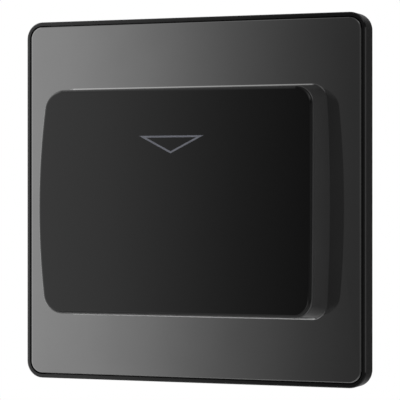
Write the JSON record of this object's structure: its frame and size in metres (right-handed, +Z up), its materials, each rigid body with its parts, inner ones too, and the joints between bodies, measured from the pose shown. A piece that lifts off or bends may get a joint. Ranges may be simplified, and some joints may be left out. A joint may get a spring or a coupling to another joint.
{
  "type": "hotel key card switch",
  "caption": "Square wall plate with a raised hood that takes a key card from above; the card swings a sprung lever that closes a snap-action switch behind the wall.",
  "frame": {"origin": "midway between the two wall-screw slots, on the wall plane", "axes": "+Z up, +X to the right seen from the front, -Y out of the wall towards the user"},
  "size_m": [0.086, 0.0381, 0.086],
  "materials": {
    "black_chrome": "polished dark plating",
    "frame_black": "smooth black moulding",
    "hood_dark": "gloss dark grey lacquer",
    "panel_black": "high gloss black",
    "mark_grey": "smooth grey inlay",
    "inner_black": "fine matte moulding",
    "housing_grey": "matte moulding",
    "lever_ivory": "natural acetal",
    "plunger_red": "smooth moulding",
    "steel": "zinc plated",
    "brass": "machined",
    "copper": "rolled copper strip",
    "silver": "silver contact"
  },
  "bodies": {
    "wall_unit": {"mounting_frame": "frame_black", "rear_housing": "housing_grey", "housing_screws": "steel", "lever_pin": "steel", "return_spring": "steel", "switch_case": "housing_grey", "switch_cover": "housing_grey", "common_tab": "brass", "open_tab": "brass", "fixed_contact": "silver", "line_terminal": "brass", "load_terminal": "brass", "earth_terminal": "brass", "terminal_screws": "steel", "line_strap": "copper", "load_strap": "copper", "earth_spring": "copper"},
    "front": {"front_plate": "black_chrome", "plate_liner": "inner_black", "card_hood": "hood_dark", "hood_panel": "panel_black", "arrow_mark": "mark_grey", "card_guide": "inner_black", "hood_screws": "steel"},
    "lever": {"card_lever": "lever_ivory"},
    "plunger": {"switch_plunger": "plunger_red"},
    "blade": {"contact_blade": "copper", "moving_contact": "silver"}
  },
  "joints": [
    {"name": "lever_swing", "type": "hinge", "parent": "wall_unit", "child": "lever", "pos_m": [0, 0.003, 0.003], "axis": [1, 0, 0], "range_deg": [0, 10], "stiffness_Nm_per_rad": 0.02, "springref_deg": -8.59, "deforming": ["return_spring"]},
    {"name": "plunger_lift", "type": "slide", "parent": "wall_unit", "child": "plunger", "axis": [0, 0, 1], "range_m": [0, 0.00121]},
    {"name": "blade_swing", "type": "hinge", "parent": "wall_unit", "child": "blade", "pos_m": [-0.0064, 0.01015, 0.0122], "axis": [0, -1, 0], "range_deg": [0, 6.9]},
    {"name": "front_pull", "type": "slide", "parent": "wall_unit", "child": "front", "axis": [0, -1, 0], "range_m": [0, 0.025]}
  ],
  "couplings": [
    {"joint": "plunger_lift", "follows": "lever_swing", "m_per_rad": 0.006878},
    {"joint": "blade_swing", "follows": "lever_swing", "ratio": 0.6846}
  ]
}
